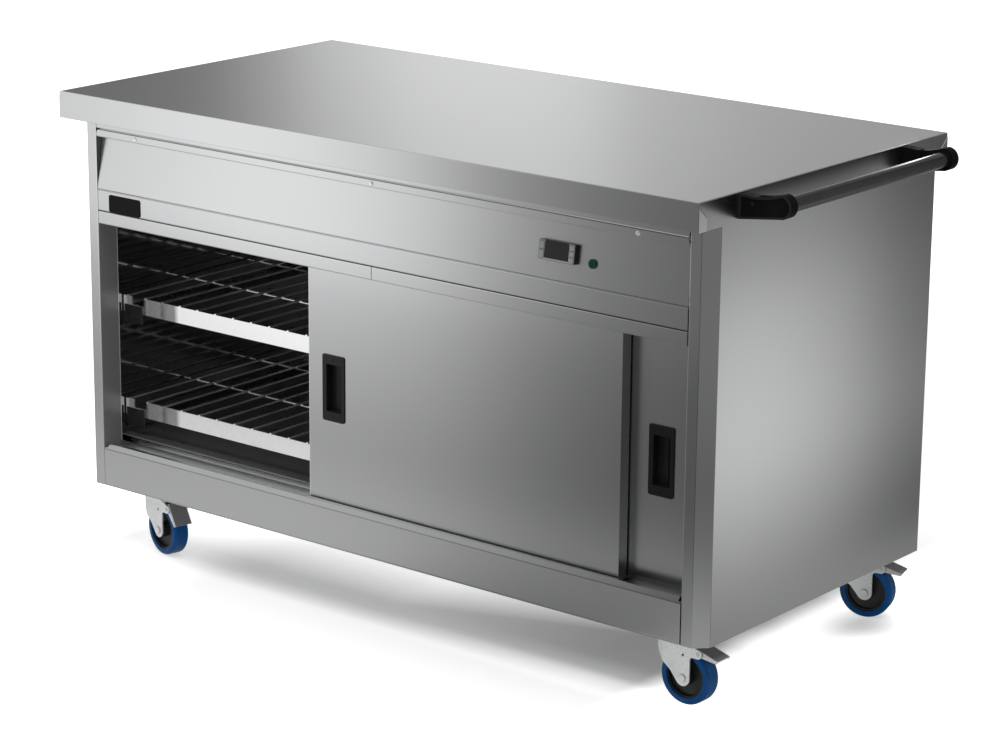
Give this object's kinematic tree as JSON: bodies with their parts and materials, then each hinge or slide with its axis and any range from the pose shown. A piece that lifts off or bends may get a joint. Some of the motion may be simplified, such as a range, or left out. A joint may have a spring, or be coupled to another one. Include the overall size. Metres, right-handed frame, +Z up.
{
  "type": "hot cupboard",
  "caption": "Mobile stainless hot cupboard with sliding doors, wire shelves, leaning control fascia, push handle and braked swivel casters.",
  "frame": {"origin": "middle of the footprint, handle included, on the floor", "axes": "+X along the counter towards the push handle, +Y from the doors to the back, +Z up"},
  "size_m": [1.5564, 0.76, 0.9055],
  "materials": {
    "cabinet_steel": "brushed",
    "liner_steel": "bright rolled",
    "shelf_wire": "plated",
    "zinc_plate": "zinc plated",
    "heater_sheath": "heat tinted",
    "black_plastic": "moulded",
    "tube_coat": "satin",
    "blue_tyre": "smooth",
    "key_plastic": "silver",
    "display_glass": "smoked",
    "lamp_lens": "green lens"
  },
  "bodies": {
    "cabinet": {"counter_top": "cabinet_steel", "end_panel_left": "cabinet_steel", "end_panel_right": "cabinet_steel", "back_panel": "cabinet_steel", "base_pan": "cabinet_steel", "service_tray": "cabinet_steel", "front_plinth": "cabinet_steel", "lower_track": "cabinet_steel", "upper_track": "cabinet_steel", "trim_strip": "cabinet_steel", "control_fascia": "cabinet_steel", "top_rail": "cabinet_steel", "header_cover_left": "cabinet_steel", "header_cover_right": "cabinet_steel", "insulated_deck": "liner_steel", "liner": "liner_steel", "liner_floor": "liner_steel", "shelf_runners": "liner_steel", "upper_shelf": "shelf_wire", "lower_shelf": "shelf_wire", "controller_case": "black_plastic", "display_window": "display_glass", "indicator_lamp": "lamp_lens", "heating_element": "heater_sheath", "temperature_probe": "zinc_plate", "cable_gland": "black_plastic", "handle_brackets": "black_plastic", "handle_tube": "tube_coat", "caster_plates": "zinc_plate"},
    "front_door": {"front_door_skin": "cabinet_steel", "front_door_liner": "liner_steel", "front_door_pull": "black_plastic"},
    "roller_front_left": {"roller_front_left": "black_plastic"},
    "roller_front_right": {"roller_front_right": "black_plastic"},
    "rear_door": {"rear_door_skin": "cabinet_steel", "rear_door_liner": "liner_steel", "rear_door_pull": "black_plastic"},
    "roller_rear_left": {"roller_rear_left": "black_plastic"},
    "roller_rear_right": {"roller_rear_right": "black_plastic"},
    "caster_fl": {"fork_fl": "zinc_plate"},
    "wheel_fl": {"hub_fl": "black_plastic", "tyre_fl": "blue_tyre"},
    "brake_fl": {"pedal_fl": "black_plastic"},
    "caster_fr": {"fork_fr": "zinc_plate"},
    "wheel_fr": {"hub_fr": "black_plastic", "tyre_fr": "blue_tyre"},
    "brake_fr": {"pedal_fr": "black_plastic"},
    "caster_bl": {"fork_bl": "zinc_plate"},
    "wheel_bl": {"hub_bl": "black_plastic", "tyre_bl": "blue_tyre"},
    "brake_bl": {"pedal_bl": "black_plastic"},
    "caster_br": {"fork_br": "zinc_plate"},
    "wheel_br": {"hub_br": "black_plastic", "tyre_br": "blue_tyre"},
    "brake_br": {"pedal_br": "black_plastic"},
    "key_left_1": {"key_left_1": "key_plastic"},
    "key_left_2": {"key_left_2": "key_plastic"},
    "key_right_1": {"key_right_1": "key_plastic"},
    "key_right_2": {"key_right_2": "key_plastic"},
    "key_right_3": {"key_right_3": "key_plastic"}
  },
  "joints": [
    {"name": "front_door_slide", "type": "slide", "parent": "cabinet", "child": "front_door", "axis": [1, 0, 0], "range_m": [-0.511, 0.143]},
    {"name": "roller_front_left_spin", "type": "hinge", "parent": "front_door", "child": "roller_front_left", "pos_m": [-0.15725, -0.303, 0.6875], "axis": [0, 1, 0], "continuous": true},
    {"name": "roller_front_right_spin", "type": "hinge", "parent": "front_door", "child": "roller_front_right", "pos_m": [0.42475, -0.303, 0.6875], "axis": [0, 1, 0], "continuous": true},
    {"name": "rear_door_slide", "type": "slide", "parent": "cabinet", "child": "rear_door", "axis": [1, 0, 0], "range_m": [-0.637, 0.017]},
    {"name": "roller_rear_left_spin", "type": "hinge", "parent": "rear_door", "child": "roller_rear_left", "pos_m": [-0.03125, -0.277, 0.6875], "axis": [0, 1, 0], "continuous": true},
    {"name": "roller_rear_right_spin", "type": "hinge", "parent": "rear_door", "child": "roller_rear_right", "pos_m": [0.55075, -0.277, 0.6875], "axis": [0, 1, 0], "continuous": true},
    {"name": "swivel_fl", "type": "hinge", "parent": "cabinet", "child": "caster_fl", "pos_m": [-0.66225, -0.262, 0.117], "axis": [0, 0, 1], "continuous": true},
    {"name": "roll_fl", "type": "hinge", "parent": "caster_fl", "child": "wheel_fl", "pos_m": [-0.62344, -0.27168, 0.05], "axis": [0.2419, 0.9703, 0], "continuous": true},
    {"name": "brake_fl_press", "type": "hinge", "parent": "caster_fl", "child": "brake_fl", "pos_m": [-0.59433, -0.27893, 0.099], "axis": [0.2419, 0.9703, 0], "range_deg": [-40, 0]},
    {"name": "swivel_fr", "type": "hinge", "parent": "cabinet", "child": "caster_fr", "pos_m": [0.56175, -0.262, 0.117], "axis": [0, 0, 1], "continuous": true},
    {"name": "roll_fr", "type": "hinge", "parent": "caster_fr", "child": "wheel_fr", "pos_m": [0.60175, -0.262, 0.05], "axis": [0, 1, 0], "continuous": true},
    {"name": "brake_fr_press", "type": "hinge", "parent": "caster_fr", "child": "brake_fr", "pos_m": [0.63175, -0.262, 0.099], "axis": [0, 1, 0], "range_deg": [0, 40]},
    {"name": "swivel_bl", "type": "hinge", "parent": "cabinet", "child": "caster_bl", "pos_m": [-0.66225, 0.292, 0.117], "axis": [0, 0, 1], "continuous": true},
    {"name": "roll_bl", "type": "hinge", "parent": "caster_bl", "child": "wheel_bl", "pos_m": [-0.62264, 0.29757, 0.05], "axis": [-0.1392, 0.9903, 0], "continuous": true},
    {"name": "brake_bl_press", "type": "hinge", "parent": "caster_bl", "child": "brake_bl", "pos_m": [-0.59293, 0.30174, 0.099], "axis": [-0.1392, 0.9903, 0], "range_deg": [0, 40]},
    {"name": "swivel_br", "type": "hinge", "parent": "cabinet", "child": "caster_br", "pos_m": [0.56175, 0.292, 0.117], "axis": [0, 0, 1], "continuous": true},
    {"name": "roll_br", "type": "hinge", "parent": "caster_br", "child": "wheel_br", "pos_m": [0.60039, 0.30235, 0.05], "axis": [-0.2588, 0.9659, 0], "continuous": true},
    {"name": "brake_br_press", "type": "hinge", "parent": "caster_br", "child": "brake_br", "pos_m": [0.62936, 0.31012, 0.099], "axis": [-0.2588, 0.9659, 0], "range_deg": [0, 40]},
    {"name": "key_left_1_press", "type": "slide", "parent": "cabinet", "child": "key_left_1", "axis": [0, 0.989, -0.1476], "range_m": [0, 0.0008], "stiffness_N_per_m": 400, "springref_m": -0.0004},
    {"name": "key_left_2_press", "type": "slide", "parent": "cabinet", "child": "key_left_2", "axis": [0, 0.989, -0.1476], "range_m": [0, 0.0008], "stiffness_N_per_m": 400, "springref_m": -0.0004},
    {"name": "key_right_1_press", "type": "slide", "parent": "cabinet", "child": "key_right_1", "axis": [0, 0.989, -0.1476], "range_m": [0, 0.0008], "stiffness_N_per_m": 400, "springref_m": -0.0004},
    {"name": "key_right_2_press", "type": "slide", "parent": "cabinet", "child": "key_right_2", "axis": [0, 0.989, -0.1476], "range_m": [0, 0.0008], "stiffness_N_per_m": 400, "springref_m": -0.0004},
    {"name": "key_right_3_press", "type": "slide", "parent": "cabinet", "child": "key_right_3", "axis": [0, 0.989, -0.1476], "range_m": [0, 0.0008], "stiffness_N_per_m": 400, "springref_m": -0.0004}
  ],
  "couplings": [
    {"joint": "roller_front_left_spin", "follows": "front_door_slide", "rad_per_m": 90.909},
    {"joint": "roller_front_right_spin", "follows": "front_door_slide", "rad_per_m": 90.909},
    {"joint": "roller_rear_left_spin", "follows": "rear_door_slide", "rad_per_m": 90.909},
    {"joint": "roller_rear_right_spin", "follows": "rear_door_slide", "rad_per_m": 90.909}
  ]
}
